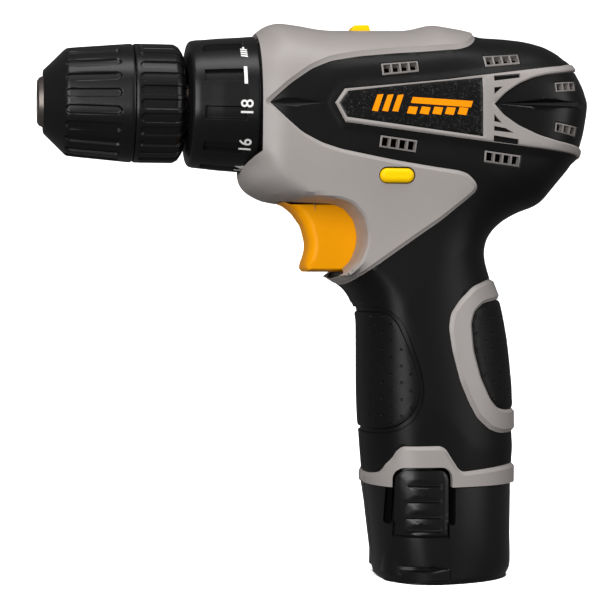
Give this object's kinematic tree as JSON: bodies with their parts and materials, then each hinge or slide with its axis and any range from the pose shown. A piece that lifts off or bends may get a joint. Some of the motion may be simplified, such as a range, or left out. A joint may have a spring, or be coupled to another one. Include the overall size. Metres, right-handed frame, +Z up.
{
  "type": "cordless drill",
  "caption": "Pistol-grip cordless drill with keyless chuck, numbered torque collar, trigger, speed and direction controls, soft black overmould and slide-in battery.",
  "frame": {"origin": "centre of the chuck nose face, on the spindle axis", "axes": "+X back along the spindle towards the tail, +Z up, halves part at Y = 0, -X out of the chuck"},
  "size_m": [0.1729, 0.0486, 0.172],
  "materials": {
    "housing_grey": "satin",
    "overmould_black": "matte",
    "panel_black": "satin",
    "badge_black": "grained",
    "chuck_black": "satin",
    "battery_black": "satin",
    "steel": "turned",
    "gear_steel": "sintered",
    "bronze": "sintered",
    "gearbox_black": "moulded",
    "magnet": "ceramic",
    "copper": "wound",
    "trigger_orange": "satin",
    "button_yellow": "satin",
    "inner_nylon": "moulded",
    "cell_wrap": "shrink wrap"
  },
  "bodies": {
    "housing": {"housing_left": "housing_grey", "housing_right": "housing_grey", "rubber_left": "overmould_black", "rubber_right": "overmould_black", "tail_panel_left": "panel_black", "tail_panel_right": "panel_black", "rear_pad_left": "overmould_black", "rear_pad_right": "overmould_black", "badge_left": "badge_black", "badge_right": "badge_black", "housing_screws": "steel", "gearbox_housing": "gearbox_black", "spindle_bush": "bronze", "clutch_washer": "steel", "clutch_pins": "steel", "clutch_spring": "steel", "ring_gear_output": "gear_steel", "ring_gear_input": "gear_steel", "motor_can": "steel", "motor_magnets": "magnet", "motor_end_cap": "inner_nylon", "motor_brushes": "magnet", "switch_body": "gearbox_black", "terminal_block": "inner_nylon"},
    "collar": {"torque_collar": "chuck_black"},
    "chuck": {"chuck_body": "steel", "chuck_rear_sleeve": "chuck_black", "chuck_screw": "steel", "spindle": "steel"},
    "chuck_sleeve": {"chuck_front_sleeve": "chuck_black", "chuck_nut": "steel"},
    "rotor": {"rotor_core": "gear_steel", "commutator": "copper", "motor_shaft": "steel", "motor_pinion": "gear_steel", "cooling_fan": "inner_nylon"},
    "input_carrier": {"carrier_input": "gear_steel"},
    "middle_carrier": {"carrier_middle": "gear_steel"},
    "speed_shift": {"speed_selector": "button_yellow", "shift_fork": "gearbox_black", "ring_gear_shift": "gear_steel"},
    "trigger_body": {"trigger": "trigger_orange"},
    "direction_body": {"direction_button": "button_yellow"},
    "battery": {"battery_base": "battery_black", "battery_case": "battery_black", "battery_cells": "cell_wrap"},
    "latch_left": {"battery_latch_left": "battery_black"},
    "latch_right": {"battery_latch_right": "battery_black"},
    "jaw_1": {"chuck_jaw_1": "steel"},
    "jaw_2": {"chuck_jaw_2": "steel"},
    "jaw_3": {"chuck_jaw_3": "steel"},
    "input_planet_1": {"planet_input_1": "gear_steel"},
    "input_planet_2": {"planet_input_2": "gear_steel"},
    "input_planet_3": {"planet_input_3": "gear_steel"},
    "middle_planet_1": {"planet_middle_1": "gear_steel"},
    "middle_planet_2": {"planet_middle_2": "gear_steel"},
    "middle_planet_3": {"planet_middle_3": "gear_steel"},
    "output_planet_1": {"planet_output_1": "gear_steel"},
    "output_planet_2": {"planet_output_2": "gear_steel"},
    "output_planet_3": {"planet_output_3": "gear_steel"}
  },
  "joints": [
    {"name": "motor_spin", "type": "hinge", "parent": "housing", "child": "rotor", "pos_m": [0.124, 0, 0], "axis": [1, 0, 0], "continuous": true},
    {"name": "input_carrier_spin", "type": "hinge", "parent": "housing", "child": "input_carrier", "pos_m": [0.0874, 0, 0], "axis": [1, 0, 0], "continuous": true},
    {"name": "middle_carrier_spin", "type": "hinge", "parent": "housing", "child": "middle_carrier", "pos_m": [0.0788, 0, 0], "axis": [1, 0, 0], "continuous": true},
    {"name": "chuck_spin", "type": "hinge", "parent": "housing", "child": "chuck", "pos_m": [0.03, 0, 0], "axis": [1, 0, 0], "continuous": true},
    {"name": "input_planet_1_spin", "type": "hinge", "parent": "input_carrier", "child": "input_planet_1", "pos_m": [0.0916, 0, 0.00945], "axis": [1, 0, 0], "continuous": true},
    {"name": "input_planet_2_spin", "type": "hinge", "parent": "input_carrier", "child": "input_planet_2", "pos_m": [0.0916, -0.00818, -0.00473], "axis": [1, 0, 0], "continuous": true},
    {"name": "input_planet_3_spin", "type": "hinge", "parent": "input_carrier", "child": "input_planet_3", "pos_m": [0.0916, 0.00818, -0.00473], "axis": [1, 0, 0], "continuous": true},
    {"name": "middle_planet_1_spin", "type": "hinge", "parent": "middle_carrier", "child": "middle_planet_1", "pos_m": [0.083, 0, 0.00945], "axis": [1, 0, 0], "continuous": true},
    {"name": "middle_planet_2_spin", "type": "hinge", "parent": "middle_carrier", "child": "middle_planet_2", "pos_m": [0.083, -0.00818, -0.00473], "axis": [1, 0, 0], "continuous": true},
    {"name": "middle_planet_3_spin", "type": "hinge", "parent": "middle_carrier", "child": "middle_planet_3", "pos_m": [0.083, 0.00818, -0.00473], "axis": [1, 0, 0], "continuous": true},
    {"name": "output_planet_1_spin", "type": "hinge", "parent": "chuck", "child": "output_planet_1", "pos_m": [0.0744, 0, 0.00945], "axis": [1, 0, 0], "continuous": true},
    {"name": "output_planet_2_spin", "type": "hinge", "parent": "chuck", "child": "output_planet_2", "pos_m": [0.0744, -0.00818, -0.00473], "axis": [1, 0, 0], "continuous": true},
    {"name": "output_planet_3_spin", "type": "hinge", "parent": "chuck", "child": "output_planet_3", "pos_m": [0.0744, 0.00818, -0.00473], "axis": [1, 0, 0], "continuous": true},
    {"name": "chuck_sleeve_turn", "type": "hinge", "parent": "chuck", "child": "chuck_sleeve", "pos_m": [0.02, 0, 0], "axis": [1, 0, 0], "range_deg": [0, 3600]},
    {"name": "jaw_1_slide", "type": "slide", "parent": "chuck", "child": "jaw_1", "axis": [-0.9659, 0, -0.2588], "range_m": [0, 0.0184]},
    {"name": "jaw_2_slide", "type": "slide", "parent": "chuck", "child": "jaw_2", "axis": [-0.9659, 0.2241, 0.1294], "range_m": [0, 0.0184]},
    {"name": "jaw_3_slide", "type": "slide", "parent": "chuck", "child": "jaw_3", "axis": [-0.9659, -0.2241, 0.1294], "range_m": [0, 0.0184]},
    {"name": "torque_collar_turn", "type": "hinge", "parent": "housing", "child": "collar", "pos_m": [0.055, 0, 0], "axis": [1, 0, 0], "range_deg": [-17.5, 330]},
    {"name": "trigger_pull", "type": "slide", "parent": "housing", "child": "trigger_body", "axis": [1, 0, 0], "range_m": [0, 0.006], "stiffness_N_per_m": 500, "springref_m": -0.004},
    {"name": "direction_button_slide", "type": "slide", "parent": "housing", "child": "direction_body", "axis": [0, 1, 0], "range_m": [-0.0025, 0.0025]},
    {"name": "speed_selector_slide", "type": "slide", "parent": "housing", "child": "speed_shift", "axis": [1, 0, 0], "range_m": [0, 0.004]},
    {"name": "battery_release", "type": "slide", "parent": "housing", "child": "battery", "axis": [0, 0, -1], "range_m": [0, 0.045]},
    {"name": "latch_left_press", "type": "hinge", "parent": "battery", "child": "latch_left", "pos_m": [0.1144, -0.0225, -0.1322], "axis": [-1, 0, 0], "range_deg": [0, 4.5], "stiffness_Nm_per_rad": 0.3, "springref_deg": -5.73},
    {"name": "latch_right_press", "type": "hinge", "parent": "battery", "child": "latch_right", "pos_m": [0.1144, 0.0225, -0.1322], "axis": [1, 0, 0], "range_deg": [0, 4.5], "stiffness_Nm_per_rad": 0.3, "springref_deg": -5.73}
  ],
  "couplings": [
    {"joint": "input_carrier_spin", "follows": "motor_spin", "ratio": 0.27778},
    {"joint": "middle_carrier_spin", "follows": "motor_spin", "ratio": 0.07716},
    {"joint": "chuck_spin", "follows": "motor_spin", "ratio": 0.021433},
    {"joint": "input_planet_1_spin", "follows": "motor_spin", "ratio": -0.90278},
    {"joint": "input_planet_2_spin", "follows": "motor_spin", "ratio": -0.90278},
    {"joint": "input_planet_3_spin", "follows": "motor_spin", "ratio": -0.90278},
    {"joint": "middle_planet_1_spin", "follows": "motor_spin", "ratio": -0.25077},
    {"joint": "middle_planet_2_spin", "follows": "motor_spin", "ratio": -0.25077},
    {"joint": "middle_planet_3_spin", "follows": "motor_spin", "ratio": -0.25077},
    {"joint": "output_planet_1_spin", "follows": "motor_spin", "ratio": -0.069659},
    {"joint": "output_planet_2_spin", "follows": "motor_spin", "ratio": -0.069659},
    {"joint": "output_planet_3_spin", "follows": "motor_spin", "ratio": -0.069659},
    {"joint": "jaw_1_slide", "follows": "chuck_sleeve_turn", "m_per_rad": 0.00029283},
    {"joint": "jaw_2_slide", "follows": "chuck_sleeve_turn", "m_per_rad": 0.00029283},
    {"joint": "jaw_3_slide", "follows": "chuck_sleeve_turn", "m_per_rad": 0.00029283}
  ]
}
